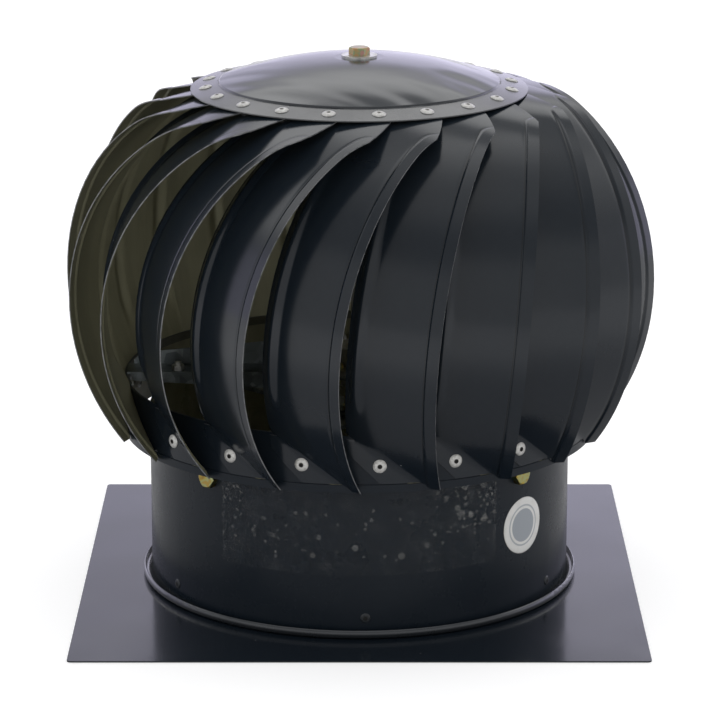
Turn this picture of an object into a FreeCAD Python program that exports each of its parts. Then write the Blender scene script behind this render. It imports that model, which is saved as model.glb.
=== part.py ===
import FreeCAD, Part
import math
import os
from FreeCAD import Vector

# Rotating chimney cowl. A square plate and a round throat carry a fixed spindle,
# and a globe of bent sheet blades turns on it. Millimetres, Z is the spin axis,
# and the origin is the middle of the plate's underside.

# General sheet and fit sizes
sheet = 0.8
lap_gap = 0.05
hole_play = 0.05
running_play = 0.05
seat_gap = 0.02
drill_reach = 20.0
rivet_drill_reach = 8.0
thread_overrun = 2.0

# Base plate and throat
plate_side = 400.0
plate_sheet = 1.0
plate_corner = 3.0
collar_inner_radius = 150.5
collar_height = 24.0
collar_bend = 2.5
throat_sheet = 0.85
throat_top_drop = 24.0
curl_radius = 3.65
curl_open_angle = 50.0
throat_rivet_count = 6
throat_rivet_height = 15.0
throat_rivet_radius = 2.6
throat_rivet_angle = 1.6
seam_width = 10.0
seam_rise = 0.8
seam_foot = 12.0
seam_angle = 105.0

# Crossed bracket bars inside the throat, with heights taken down from the ring's top
bar_width = 30.0
bar_sheet = 3.0
bar_top_drop = 29.5
bar_bolt_drop = 47.0
bar_tab_drop = 60.0
bar_angle = 47.0

# Fasteners, by thread radius, width over flats and head height
bracket_thread = 4.0
bracket_flats = 13.0
bracket_head = 5.3
bracket_nut_height = 6.5
bracket_washer_radius = 8.0
bracket_washer_sheet = 1.6
spindle_flats = 19.0
spindle_nut_height = 10.0
spindle_washer_radius = 12.0
spindle_washer_sheet = 2.5
cap_thread = 4.0
cap_flats = 13.0
cap_head = 5.5
cap_thread_depth = 8.0
cap_washer_radius = 12.7
cap_washer_sheet = 1.6
housing_thread = 2.5
housing_flats = 8.0
housing_head = 3.5
housing_nut_height = 4.0

# Blind rivets of the rotor
rivet_radius = 2.4
rivet_head_radius = 4.75
rivet_head_height = 1.45
rivet_recess_radius = 1.3
rivet_recess_floor = 0.2
rivet_bulb_radius = 3.6
rivet_bulb_length = 3.4
rivet_bulb_taper = 1.2
rivet_grip_play = 0.1

# Blades: one strip of sheet bent round a nearly level axis
blade_count = 20
rotor_angle = -3.6
rim_overhang = 42.0
rim_height = 212.0
bend_radius = 152.0
blade_width = 64.0
blade_lean = 31.2
blade_droop = 4.8
lip_width = 9.3
lip_flare = 1.3
ridge_height = 1.1
ridge_edge_width = 7.0
ridge_side_width = 5.3
edge_tuck = 0.4

# Bottom ring of the rotor, set out from the throat and lapped by the bent blades
ring_gap = 17.6
ring_lap = 44.9
ring_depth = 40.0
hem_width = 5.5
top_hem_width = 6.0
ring_rivet_rise = 19.0
ring_rivet_inset = 9.0
tab_reach = 12.5
tab_top_gap = 2.0
tab_tail_gap = 0.7
tail_rise = 2.0

# Top cap, set in from the blade's rim
flange_inset = 92.0
flange_lift = 8.34
flange_width = 20.0
flange_angle = 13.0
dome_step = 0.9
dome_rise = 16.6
seat_radius = 18.0
cap_rivet_margin = 10.6
cap_rivet_inset = 13.0
cap_tab_depth = 16.5
cap_tab_overrun = 40.0
cap_tab_back = 52.4
cap_tab_skew = 16.8
cap_tab_corner = 8.0
cap_tab_outer_edge = 17.6
cap_tab_inner_edge = 28.3
cap_tab_tuck = 5.0
strip_tuck = 4.0

# Spindle, bearings and cross bar
spindle_radius = 6.0
spindle_overrun = 4.0
spindle_chamfer = 1.0
ball_radius = 5.0
ball_seat_depth = 2.1
housing_radius = 17.0
bush_radius = 9.0
bush_flange_radius = 12.0
bush_flange_sheet = 2.0
top_housing_depth = 34.7
ball_roof = 2.7
bar_rise = 1.3
cross_sheet = 1.5
cross_width = 25.0
cross_plate_radius = 32.0
cross_flange_start = 30.0
cross_end_gap = 4.0
cross_end_cut = 6.0
cross_up_hub = 20.0
cross_up_end = 8.5
cross_down_hub = 14.0
cross_down_end = 6.5
cross_shift = -13.9
end_leg_length = 50.0
end_tab_depth = 14.0
end_tab_back = 12.0
end_tab_front = 40.0
end_rivet_drop = 7.0
end_rivet_start = 18.5
end_rivet_pitch = 15.0
end_bolt_inset = 37.0
end_bolt_shift = 6.0
housing_flange_radius = 28.0
housing_flange_sheet = 4.0
housing_bolt_circle = 22.5
lower_housing_drop = 10.0
lower_housing_rise = 18.0
circlip_radius = 8.5
circlip_groove = 0.6
circlip_sheet = 1.2
circlip_gap = 0.4
circlip_opening = 4.0

# Sizes that follow from the ones above
collar_outer_radius = collar_inner_radius + plate_sheet
throat_inner_radius = collar_outer_radius + lap_gap
throat_radius = throat_inner_radius + throat_sheet
ring_radius = throat_radius + ring_gap
rim_radius = ring_radius + rim_overhang
blade_drop = math.sqrt(bend_radius ** 2 - (bend_radius - rim_overhang) ** 2)
blade_climb = math.sqrt(bend_radius ** 2 - (bend_radius - flange_inset) ** 2)
ring_top = rim_height - blade_drop + ring_lap
ring_bottom = ring_top - ring_depth
throat_top = ring_top - throat_top_drop
bar_top = ring_top - bar_top_drop
bar_bolt_height = ring_top - bar_bolt_drop
bar_tab_bottom = ring_top - bar_tab_drop
ring_inner_radius = ring_radius - sheet
hem_radius = ring_radius + sheet
top_hem_radius = ring_inner_radius - sheet
ring_rivet_height = ring_bottom + ring_rivet_rise
blade_tab_radius = ring_radius + lap_gap
blade_tail = ring_bottom + tail_rise
blade_tab_bottom = ring_bottom + hem_width + tab_tail_gap
flange_tilt = math.tan(math.radians(flange_angle))
flange_radius = rim_radius - flange_inset
dome_radius = flange_radius - flange_width
cap_rivet_circle = flange_radius - cap_rivet_margin
tab_inner_radius = flange_radius - cap_tab_depth
flange_edge = rim_height + blade_climb + flange_lift
flange_top = flange_edge + (flange_radius - dome_radius) * flange_tilt
dome_top = flange_top + dome_step + dome_rise
cap_underside = dome_top - sheet
cross_top = ring_top + bar_rise
cross_bottom = cross_top - cross_sheet
cross_reach = top_hem_radius - lap_gap
bars_bottom = bar_top - 2 * bar_sheet
ball_top = cap_underside - cap_thread_depth - ball_roof
spindle_tip = ball_top - running_play - 2 * ball_radius + ball_seat_depth
spindle_foot = bars_bottom - spindle_washer_sheet - spindle_nut_height - spindle_overrun
housing_top = cross_top + lower_housing_rise
housing_bottom = cross_bottom - lower_housing_drop
step_angle = 360.0 / blade_count
up = Vector(0, 0, 1)
origin = Vector(0, 0, 0)


def polar(radius, angle, height):
    turn = math.radians(angle)
    return Vector(radius * math.cos(turn), radius * math.sin(turn), height)


def outline_face(points):
    return Part.Face(Part.makePolygon(points + points[:1]))


def lathe(points, angle=360.0):
    # Solid of revolution about Z from (radius, height) points
    section = outline_face([Vector(radius, 0, height) for radius, height in points])
    return section.revolve(origin, up, angle)


def turned(shape, angle):
    copy = shape.copy()
    copy.rotate(origin, up, angle)
    return copy


def ring_of(shape, count, start=0.0):
    return [turned(shape, start + 360.0 * index / count) for index in range(count)]


def point_outward(shape, radius, height, tilt=90.0):
    # Lays a fastener made along Z on the +X side, leaning by tilt from upright
    copy = shape.copy()
    copy.rotate(origin, Vector(0, 1, 0), tilt)
    copy.translate(Vector(radius, 0, height))
    return copy


def disc(radius, low, high):
    return Part.makeCylinder(radius, high - low, Vector(0, 0, low))


def drill(radius, reach=drill_reach):
    return disc(radius + hole_play, -reach, reach)


def pipe(inner, outer, low, high):
    return disc(outer, low, high).cut(disc(inner, low - 1, high + 1))


def hexagon(flats, low, high, both_ends=False):
    # Hexagonal prism with its corners turned down by 30 degrees
    corner = flats / math.sqrt(3)
    points = [polar(corner, 60 * index, low) for index in range(6)]
    prism = outline_face(points).extrude(Vector(0, 0, high - low))
    rim = 0.475 * flats
    fall = (corner - rim) * math.tan(math.radians(30))
    turned_down = [(0, low), (corner, low), (corner, high - fall), (rim, high), (0, high)]
    if both_ends:
        turned_down[1:2] = [(rim, low), (corner, low + fall)]
    return prism.common(lathe(turned_down))


def hex_bolt(flats, head, thread, length):
    return hexagon(flats, 0, head).fuse(disc(thread, -length, 0)).removeSplitter()


def hex_nut(flats, thread, low, high):
    return hexagon(flats, low, high, True).cut(disc(thread + hole_play, low - 1, high + 1))


def blind_rivet(grip):
    # Domed head above Z 0, with the hole left by the pulled mandrel, and a bulb behind
    dome = Part.Arc(
        Vector(rivet_recess_radius, 0, rivet_head_height),
        Vector(0.7 * rivet_head_radius, 0, 0.78 * rivet_head_height),
        Vector(rivet_head_radius, 0, 0.25 * rivet_head_height),
    ).toShape()
    low = -grip - rivet_bulb_length
    below = [
        Vector(rivet_head_radius, 0, 0.25 * rivet_head_height),
        Vector(rivet_head_radius, 0, 0),
        Vector(rivet_radius, 0, 0),
        Vector(rivet_radius, 0, -grip),
        Vector(rivet_bulb_radius, 0, -grip),
        Vector(rivet_bulb_radius, 0, low + rivet_bulb_taper),
        Vector(rivet_recess_radius, 0, low),
        Vector(0, 0, low),
        Vector(0, 0, rivet_recess_floor),
        Vector(rivet_recess_radius, 0, rivet_recess_floor),
        Vector(rivet_recess_radius, 0, rivet_head_height),
    ]
    section = Part.Face(Part.Wire([dome] + Part.makePolygon(below).Edges))
    return section.revolve(origin, up, 360)


# Base plate and throat

def base_plate():
    # Square sheet with a round collar turned up through a bend
    outer_bend = collar_bend + plate_sheet
    bend_center = collar_inner_radius + outer_bend
    half = plate_side / 2
    sheet_plate = Part.makeBox(plate_side, plate_side, plate_sheet, Vector(-half, -half, 0))
    corners = [edge for edge in sheet_plate.Edges if abs(edge.tangentAt(edge.FirstParameter).z) > 0.9]
    sheet_plate = sheet_plate.makeFillet(plate_corner, corners)
    sheet_plate = sheet_plate.cut(disc(bend_center, -1, plate_sheet + 1))
    cos45 = math.sqrt(0.5)
    inside = Part.Arc(
        Vector(bend_center, 0, 0),
        Vector(bend_center - outer_bend * cos45, 0, outer_bend * (1 - cos45)),
        Vector(collar_inner_radius, 0, outer_bend),
    ).toShape()
    outside = Part.Arc(
        Vector(collar_outer_radius, 0, outer_bend),
        Vector(bend_center - collar_bend * cos45, 0, outer_bend - collar_bend * cos45),
        Vector(bend_center, 0, plate_sheet),
    ).toShape()
    wall = Part.makePolygon([
        Vector(collar_inner_radius, 0, outer_bend),
        Vector(collar_inner_radius, 0, collar_height),
        Vector(collar_outer_radius, 0, collar_height),
        Vector(collar_outer_radius, 0, outer_bend),
    ]).Edges
    foot = Part.makeLine(Vector(bend_center, 0, plate_sheet), Vector(bend_center, 0, 0))
    collar = Part.Face(Part.Wire([inside] + wall + [outside, foot])).revolve(origin, up, 360)
    plate = sheet_plate.fuse(collar).removeSplitter()
    return plate.cut(Part.makeCompound(throat_rivet_holes()))


def throat_rivet_holes():
    hole = drill(throat_rivet_radius)
    hole = point_outward(hole, throat_radius, throat_rivet_height)
    return ring_of(hole, throat_rivet_count, throat_rivet_angle - 90)


def bracket_bolt_holes():
    hole = point_outward(drill(bracket_thread), throat_radius, bar_bolt_height)
    return ring_of(hole, 4, bar_angle - 90)


def throat():
    # Straight wall whose foot is curled outward and stands on the plate
    curl_center = throat_inner_radius + curl_radius
    curl_height = plate_sheet + curl_radius
    end = math.radians(curl_open_angle)
    inner = curl_radius - throat_sheet

    def on_curl(radius, angle):
        return Vector(curl_center + radius * math.cos(angle), 0, curl_height + radius * math.sin(angle))

    half_turn = (end - math.pi) / 2
    outside = Part.Arc(
        on_curl(curl_radius, -math.pi), on_curl(curl_radius, half_turn), on_curl(curl_radius, end)
    ).toShape()
    inside = Part.Arc(
        on_curl(inner, end), on_curl(inner, half_turn), on_curl(inner, -math.pi)
    ).toShape()
    lip = Part.makeLine(on_curl(curl_radius, end), on_curl(inner, end))
    wall = Part.makePolygon([
        on_curl(inner, -math.pi),
        Vector(throat_radius, 0, throat_top),
        Vector(throat_inner_radius, 0, throat_top),
        on_curl(curl_radius, -math.pi),
    ]).Edges
    shell = Part.Face(Part.Wire([outside, lip, inside] + wall)).revolve(origin, up, 360)
    shell = shell.fuse(throat_seam()).removeSplitter()
    return shell.cut(Part.makeCompound(throat_rivet_holes() + bracket_bolt_holes()))


def throat_seam():
    # Flattened lock seam down the outside of the wall, towards the back
    strip = lathe([
        (throat_radius, seam_foot),
        (throat_radius + seam_rise, seam_foot),
        (throat_radius + seam_rise, throat_top),
        (throat_radius, throat_top),
    ], math.degrees(seam_width / throat_radius))
    return turned(strip, seam_angle)


def throat_rivets():
    # Flush inside, with a low painted head outside
    head = throat_rivet_radius * 1.35
    body = lathe([
        (0, collar_inner_radius - throat_radius),
        (throat_rivet_radius, collar_inner_radius - throat_radius),
        (throat_rivet_radius, 0),
        (head, 0),
        (0.8 * head, 0.7),
        (0, 1.0),
    ])
    rivet = point_outward(body, throat_radius, throat_rivet_height)
    rivet = rivet.cut(disc(collar_inner_radius, 0, collar_height))
    return Part.makeCompound(ring_of(rivet, throat_rivet_count, throat_rivet_angle - 90))


# Crossed bracket with the fixed spindle

def bracket_bar(top):
    # Flat bar with both ends turned down, cut to the round of the throat wall
    reach = math.sqrt((throat_inner_radius - lap_gap) ** 2 - (bar_width / 2) ** 2)
    half = bar_width / 2
    strap = Part.makeBox(2 * reach, bar_width, bar_sheet, Vector(-reach, -half, top - bar_sheet))
    corner = Vector(reach - bar_sheet, -half, bar_tab_bottom)
    tab = Part.makeBox(bar_sheet, bar_width, top - bar_tab_bottom, corner)
    bar = strap.fuse([tab, turned(tab, 180)]).removeSplitter()
    bend = [edge for edge in bar.Edges if bar_end_edge(edge, reach, top)]
    bar = bar.makeFillet(0.8 * bar_sheet, bend)
    hole = point_outward(drill(bracket_thread), reach, bar_bolt_height)
    return bar.cut([disc(spindle_radius + hole_play, 0, bar_top + 1), hole, turned(hole, 180)])


def bar_end_edge(edge, reach, top):
    middle = edge.CenterOfMass
    return abs(abs(middle.x) - reach) < 0.01 and abs(middle.z - top) < 0.01


def bracket_bar_lower():
    return turned(bracket_bar(bar_top - bar_sheet), bar_angle)


def bracket_bar_upper():
    return turned(bracket_bar(bar_top), bar_angle - 90)


def bracket_inside():
    # Distance from the axis to the inner face of a bar's turned-down end
    return math.sqrt((throat_inner_radius - lap_gap) ** 2 - (bar_width / 2) ** 2) - bar_sheet


def bracket_bolts():
    grip = throat_radius - bracket_inside() + bracket_washer_sheet + bracket_nut_height + thread_overrun
    bolt = hex_bolt(bracket_flats, bracket_head, bracket_thread, grip)
    bolt = point_outward(turned(bolt, 30), throat_radius + seat_gap, bar_bolt_height)
    return Part.makeCompound(ring_of(bolt, 4, bar_angle - 90))


def bracket_washers():
    washer = pipe(bracket_thread + hole_play, bracket_washer_radius, -bracket_washer_sheet, 0)
    washer = point_outward(washer, bracket_inside(), bar_bolt_height)
    return Part.makeCompound(ring_of(washer, 4, bar_angle - 90))


def bracket_nuts():
    low = -bracket_washer_sheet - bracket_nut_height
    nut = hex_nut(bracket_flats, bracket_thread, low, -bracket_washer_sheet)
    nut = point_outward(nut, bracket_inside(), bar_bolt_height)
    return Part.makeCompound(ring_of(nut, 4, bar_angle - 90))


def spindle():
    groove = circlip_height()
    bar = disc(spindle_radius, spindle_foot, spindle_tip)
    foot = [edge for edge in bar.Edges if abs(edge.CenterOfMass.z - spindle_foot) < 0.01]
    bar = bar.makeChamfer(spindle_chamfer, foot)
    groove_top = groove + circlip_sheet + hole_play
    neck = pipe(circlip_neck(), spindle_radius + 1, groove - hole_play, groove_top)
    seat = Part.makeSphere(ball_radius + running_play, Vector(0, 0, ball_height()))
    return bar.cut([neck, seat])


def ball_height():
    return ball_top - running_play - ball_radius


def pivot_ball():
    return Part.makeSphere(ball_radius, Vector(0, 0, ball_height()))


def spindle_washers():
    hole = spindle_radius + hole_play
    above = pipe(hole, spindle_washer_radius, bar_top, bar_top + spindle_washer_sheet)
    below = pipe(hole, spindle_washer_radius, bars_bottom - spindle_washer_sheet, bars_bottom)
    return Part.makeCompound([above, below])


def spindle_nuts():
    low = bar_top + spindle_washer_sheet
    high = bars_bottom - spindle_washer_sheet
    above = hex_nut(spindle_flats, spindle_radius, low, low + spindle_nut_height)
    below = hex_nut(spindle_flats, spindle_radius, high - spindle_nut_height, high)
    return Part.makeCompound([above, below])


def circlip_neck():
    return spindle_radius - circlip_groove


def circlip_height():
    return housing_top + circlip_gap


def spindle_circlip():
    low = circlip_height()
    clip = pipe(circlip_neck() + hole_play, circlip_radius, low, low + circlip_sheet)
    mouth = Part.makeBox(
        circlip_radius + 1, circlip_opening, circlip_sheet + 2, Vector(0, -circlip_opening / 2, low - 1)
    )
    return clip.cut(mouth)


# Rotor blades

def bend_frame():
    # Middle of the bend on the outer edge's plane, its axis, and the way out to the rim
    lean = math.radians(blade_lean)
    droop = math.radians(blade_droop)
    axis = Vector(math.sin(lean) * math.cos(droop), math.cos(lean) * math.cos(droop), -math.sin(droop))
    outward = Vector(math.cos(lean), -math.sin(lean), 0)
    middle = Vector(rim_radius, 0, rim_height) - outward * (bend_radius + lip_flare)
    return middle, axis, outward


def bend_distance(point):
    middle, axis = bend_frame()[:2]
    return (point - middle).cross(axis).Length


def fold_azimuth(radius, height, low, high):
    # Angle at which the bent sheet crosses a circle about the spin axis
    low_side = bend_distance(polar(radius, low, height)) > bend_radius
    for halving in range(40):
        half = (low + high) / 2
        if (bend_distance(polar(radius, half, height)) > bend_radius) == low_side:
            low = half
        else:
            high = half
    return low


def ring_fold():
    return fold_azimuth(blade_tab_radius, ring_rivet_height, -35, 25)


def cone_height(radius):
    # Underside of the cap's flange, carried on past its edge
    return flange_edge - sheet + (flange_radius - radius) * flange_tilt


def cap_fold():
    return fold_azimuth(cap_rivet_circle, cone_height(cap_rivet_circle), 0, 60)


def ring_rivet_azimuth():
    return ring_fold() - math.degrees(ring_rivet_inset / blade_tab_radius)


def cap_rivet_azimuth():
    return cap_fold() + math.degrees(cap_rivet_inset / cap_rivet_circle)


def blade_strip():
    # Formed section: lip at the outer edge, flat, then a ridge along the inner edge
    middle, axis, outward = bend_frame()
    ridge = ridge_edge_width - blade_width
    outer = [
        (0, bend_radius + lip_flare),
        (-lip_width, bend_radius),
        (ridge + ridge_side_width, bend_radius),
        (ridge, bend_radius + ridge_height),
        (-blade_width, bend_radius - edge_tuck),
    ]
    inner = [(along, radius - sheet) for along, radius in reversed(outer)]
    points = [middle + axis * along + outward * radius for along, radius in outer + inner]
    section = outline_face(points)
    section.rotate(middle, axis, -95)
    return section.revolve(middle, axis, 145)


def bend_drum(radius):
    middle, axis = bend_frame()[:2]
    return Part.makeCylinder(radius, 4 * blade_width, middle - axis * 2 * blade_width, axis)


def ring_tab():
    # Diagonal tab on the ring, on the inner side of the fold
    azimuth = ring_rivet_azimuth()
    tab_top = ring_top - tab_top_gap
    shell = pipe(blade_tab_radius, blade_tab_radius + sheet, blade_tab_bottom, tab_top)
    rise = tab_top - blade_tab_bottom
    inside = ring_radius / 2
    below = ring_rivet_height - blade_tab_bottom
    outline = [
        Vector(inside, below - tab_reach, blade_tab_bottom),
        Vector(inside, 3 * rise, blade_tab_bottom),
        Vector(inside, 3 * rise, tab_top),
        Vector(inside, below - tab_reach - rise, tab_top),
    ]
    window = turned(outline_face(outline).extrude(Vector(ring_radius, 0, 0)), azimuth)
    return shell.common(window).cut(bend_drum(bend_radius - sheet))


def cap_tab():
    # Tab under the cap's flange, beyond the fold
    outer = flange_radius + cap_tab_overrun
    inner = tab_inner_radius - cap_tab_tuck
    section = [
        (tab_inner_radius, cone_height(tab_inner_radius) - lap_gap),
        (outer, cone_height(outer) - lap_gap),
        (outer, cone_height(outer) - lap_gap - sheet),
        (tab_inner_radius, cone_height(tab_inner_radius) - lap_gap - sheet),
    ]
    fold = cap_fold()
    turn = math.degrees(1 / flange_radius)
    window = outline_face([
        polar(inner, fold - cap_tab_back * turn, 0),
        polar(outer, fold - cap_tab_skew * turn, 0),
        polar(outer - cap_tab_corner, fold, 0),
        polar(flange_radius, fold + cap_tab_outer_edge * turn, 0),
        polar(inner, fold + cap_tab_inner_edge * turn, 0),
    ]).extrude(Vector(0, 0, 2 * rim_height))
    return lathe(section).common(window).common(bend_drum(bend_radius))


def above_cap():
    reach = 2 * rim_radius
    high = flange_edge + rim_height
    return lathe([
        (0, cone_height(0) - lap_gap),
        (reach, cone_height(reach) - lap_gap),
        (reach, high),
        (0, high),
    ])


def blade():
    strip = blade_strip().cut(disc(blade_tab_radius, 0, rim_height))
    strip = strip.cut(disc(hem_radius + lap_gap, 0, blade_tab_bottom))
    strip = strip.cut(disc(2 * rim_radius, -rim_height, blade_tail))
    strip = strip.cut(above_cap())
    strip = strip.cut(disc(flange_radius - strip_tuck, rim_height, 2 * rim_height))
    whole = strip.fuse([ring_tab(), cap_tab()]).removeSplitter()
    return whole.cut([ring_rivet_hole(), cap_rivet_hole()])


def ring_rivet_hole():
    hole = point_outward(drill(rivet_radius, rivet_drill_reach), ring_radius, ring_rivet_height)
    return turned(hole, ring_rivet_azimuth())


def cap_rivet_hole():
    hole = drill(rivet_radius, rivet_drill_reach)
    hole = point_outward(hole, cap_rivet_circle, cone_height(cap_rivet_circle), flange_angle)
    return turned(hole, cap_rivet_azimuth())


# Ring, cap and their rivets

def bottom_ring():
    # Band with a hem folded outward at the foot and one folded inward at the top
    band = lathe([
        (ring_inner_radius, ring_bottom),
        (hem_radius, ring_bottom),
        (hem_radius, ring_bottom + hem_width),
        (ring_radius, ring_bottom + hem_width),
        (ring_radius, ring_top),
        (top_hem_radius, ring_top),
        (top_hem_radius, ring_top - top_hem_width),
        (ring_inner_radius, ring_top - top_hem_width),
    ])
    holes = ring_of(ring_rivet_hole(), blade_count) + end_rivet_holes()
    return band.cut(Part.makeCompound(holes))


def top_cap():
    # Shallow dome with a flat seat for the bolt, a small step and a sloping flange
    foot = flange_top + dome_step
    step_radius = dome_radius + dome_step
    mid_radius = (seat_radius + dome_radius) / 2

    def dome_height(radius):
        share = (dome_radius ** 2 - radius ** 2) / (dome_radius ** 2 - seat_radius ** 2)
        return foot + dome_rise * share

    def dome_arc(drop):
        return Part.Arc(
            Vector(seat_radius, 0, dome_top - drop),
            Vector(mid_radius, 0, dome_height(mid_radius) - drop),
            Vector(dome_radius, 0, foot - drop),
        ).toShape()

    top_seat = Part.makeLine(Vector(0, 0, dome_top), Vector(seat_radius, 0, dome_top))
    under_seat = Part.makeLine(Vector(0, 0, cap_underside), Vector(seat_radius, 0, cap_underside))
    flange = Part.makePolygon([
        Vector(dome_radius, 0, foot),
        Vector(step_radius, 0, cone_height(step_radius) + sheet),
        Vector(flange_radius, 0, flange_edge),
        Vector(flange_radius, 0, flange_edge - sheet),
        Vector(step_radius - sheet, 0, cone_height(step_radius - sheet)),
        Vector(dome_radius, 0, foot - sheet),
    ]).Edges
    axis_edge = Part.makeLine(Vector(0, 0, cap_underside), Vector(0, 0, dome_top))
    loop = [top_seat, dome_arc(0)] + flange + [dome_arc(sheet), under_seat, axis_edge]
    shell = Part.Face(Part.Wire(Part.__sortEdges__(loop))).revolve(origin, up, 360)
    holes = ring_of(cap_rivet_hole(), blade_count)
    holes.append(disc(cap_thread + 4 * hole_play, cap_underside - 5, dome_top + 5))
    return shell.cut(Part.makeCompound(holes))


def ring_rivets():
    grip = 2 * sheet + lap_gap + rivet_grip_play
    rivet = point_outward(blind_rivet(grip), blade_tab_radius + sheet, ring_rivet_height)
    return Part.makeCompound(ring_of(rivet, blade_count, ring_rivet_azimuth()))


def top_rivets():
    grip = 2 * sheet + lap_gap + rivet_grip_play
    tilt = math.radians(flange_angle)
    radius = cap_rivet_circle + sheet * math.sin(tilt)
    height = cone_height(cap_rivet_circle) + sheet * math.cos(tilt)
    rivet = point_outward(blind_rivet(grip), radius, height, flange_angle)
    return Part.makeCompound(ring_of(rivet, blade_count, cap_rivet_azimuth()))


# Cap bolt, bearings and cross bar

def cap_bolt():
    length = cap_washer_sheet + sheet + cap_thread_depth - thread_overrun / 2
    bolt = hex_bolt(cap_flats, cap_head, cap_thread, length)
    bolt.translate(Vector(0, 0, dome_top + cap_washer_sheet))
    return bolt


def cap_washer():
    return pipe(cap_thread + 4 * hole_play, cap_washer_radius, dome_top, dome_top + cap_washer_sheet)


def top_housing():
    low = cap_underside - top_housing_depth
    cup = disc(housing_radius, low, cap_underside)
    rims = [edge for edge in cup.Edges if abs(edge.CenterOfMass.z - low) < 0.01]
    cup = cup.makeChamfer(1.5, rims)
    thread = disc(cap_thread + hole_play, cap_underside - cap_thread_depth, cap_underside + 1)
    return cup.cut([disc(bush_radius + hole_play, low - 1, ball_top), thread])


def bush(low, high):
    # Plain flanged bush with its flange at the lower end
    flange = disc(bush_flange_radius, low - bush_flange_sheet, low)
    body = disc(bush_radius, low, high).fuse(flange).removeSplitter()
    return body.cut(disc(spindle_radius + running_play, low - 10, high + 10))


def top_bush():
    low = cap_underside - top_housing_depth
    return bush(low, spindle_tip - 2.0)


def lower_housing():
    # Turned hub with a bolting flange that sits on the cross bar
    hub = disc(housing_radius, housing_bottom, housing_top)
    rims = [edge for edge in hub.Edges if edge.Curve.TypeId == "Part::GeomCircle"]
    hub = hub.makeChamfer(1.0, rims)
    flange = disc(housing_flange_radius, cross_top, cross_top + housing_flange_sheet)
    hub = hub.fuse(flange).removeSplitter()
    return hub.cut([disc(bush_radius + hole_play, 0, rim_height)] + housing_bolt_holes())


def lower_bush():
    return bush(housing_bottom, housing_top - 1.0)


def housing_bolt_holes():
    hole = disc(housing_thread + hole_play, cross_top - 30, cross_top + 30)
    hole.translate(Vector(housing_bolt_circle, 0, 0))
    return ring_of(hole, 4, cross_angle() + 45)


def housing_bolts():
    grip = housing_flange_sheet + cross_sheet + housing_nut_height + thread_overrun
    bolt = hex_bolt(housing_flats, housing_head, housing_thread, grip)
    bolt.translate(Vector(housing_bolt_circle, 0, cross_top + housing_flange_sheet))
    return Part.makeCompound(ring_of(bolt, 4, cross_angle() + 45))


def housing_nuts():
    nut = hex_nut(housing_flats, housing_thread, cross_bottom - housing_nut_height, cross_bottom)
    nut.translate(Vector(housing_bolt_circle, 0, 0))
    return Part.makeCompound(ring_of(nut, 4, cross_angle() + 45))


def cross_angle():
    # The bar's ends lie beside a blade's rivet, one blade on from the first
    return ring_rivet_azimuth() + step_angle + math.degrees(cross_shift / ring_radius)


def both_ends(shape):
    return [turned(shape, cross_angle()), turned(shape, cross_angle() + 180)]


def end_turn(length):
    # Angle for a length along the ring, from the bar's middle line
    return math.degrees(length / ring_radius)


def at_end_rivets(shape):
    # Copies a rivet or hole, made level with the ring's top, to both ends of the bar
    lowered = shape.copy()
    lowered.translate(Vector(0, 0, -end_rivet_drop))
    copies = []
    for index in range(2):
        copies += both_ends(turned(lowered, end_turn(end_rivet_start + index * end_rivet_pitch)))
    return copies


def end_rivet_holes():
    return at_end_rivets(point_outward(drill(rivet_radius), ring_radius, ring_top))


def end_bolt_place(shape, height):
    placed = shape.copy()
    placed.translate(Vector(cross_reach - end_bolt_inset, end_bolt_shift, height))
    return both_ends(placed)


def end_bolt_holes():
    return end_bolt_place(drill(housing_thread), cross_top)


def tapered_flange(base, hub_edge, end_edge, corner, side):
    # Upright wall along both arms of the bar, changing height from the hub to its end
    end = cross_reach - cross_end_gap
    points = [
        Vector(cross_flange_start, side, base),
        Vector(end, side, base),
        Vector(end, side, end_edge - corner),
        Vector(end - abs(corner), side, end_edge),
        Vector(cross_flange_start, side, hub_edge),
    ]
    wall = outline_face(points).extrude(Vector(0, cross_sheet, 0))
    return [wall, wall.mirror(origin, Vector(1, 0, 0))]


def cross_bar():
    # Folded bar with a round middle, an upright flange behind and a lower one in front
    half = cross_width / 2
    web = Part.makeBox(2 * cross_reach, cross_width, cross_sheet, Vector(-cross_reach, -half, cross_bottom))
    web = web.common(disc(cross_reach, cross_bottom, cross_top))
    walls = tapered_flange(
        cross_bottom, cross_top + cross_up_hub, cross_top + cross_up_end, cross_end_cut, half - cross_sheet
    )
    walls += tapered_flange(
        cross_top, cross_top - cross_down_hub, cross_top - cross_down_end, -cross_sheet, -half
    )
    bar = web.fuse([disc(cross_plate_radius, cross_bottom, cross_top)] + walls).removeSplitter()
    bar = turned(bar, cross_angle())
    holes = end_bolt_holes() + housing_bolt_holes()
    holes.append(disc(housing_radius + hole_play, 0, rim_height))
    return bar.cut(Part.makeCompound(holes))


def end_brackets():
    # Angle brackets that carry the bar's ends, with a long tab against the ring
    high = cross_bottom - lap_gap
    low = high - cross_sheet
    half = cross_width / 2 - cross_sheet - lap_gap
    corner = Vector(cross_reach - end_leg_length, -half, low)
    leg = Part.makeBox(end_leg_length, 2 * half, cross_sheet, corner)
    leg = leg.common(disc(cross_reach, low, high))
    tab = lathe([
        (cross_reach - cross_sheet, high - end_tab_depth),
        (cross_reach, high - end_tab_depth),
        (cross_reach, high),
        (cross_reach - cross_sheet, high),
    ], end_turn(end_tab_back + end_tab_front))
    bracket = leg.fuse(turned(tab, -end_turn(end_tab_back))).removeSplitter()
    holes = Part.makeCompound(end_rivet_holes() + end_bolt_holes())
    return Part.makeCompound([one.cut(holes) for one in both_ends(bracket)])


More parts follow.
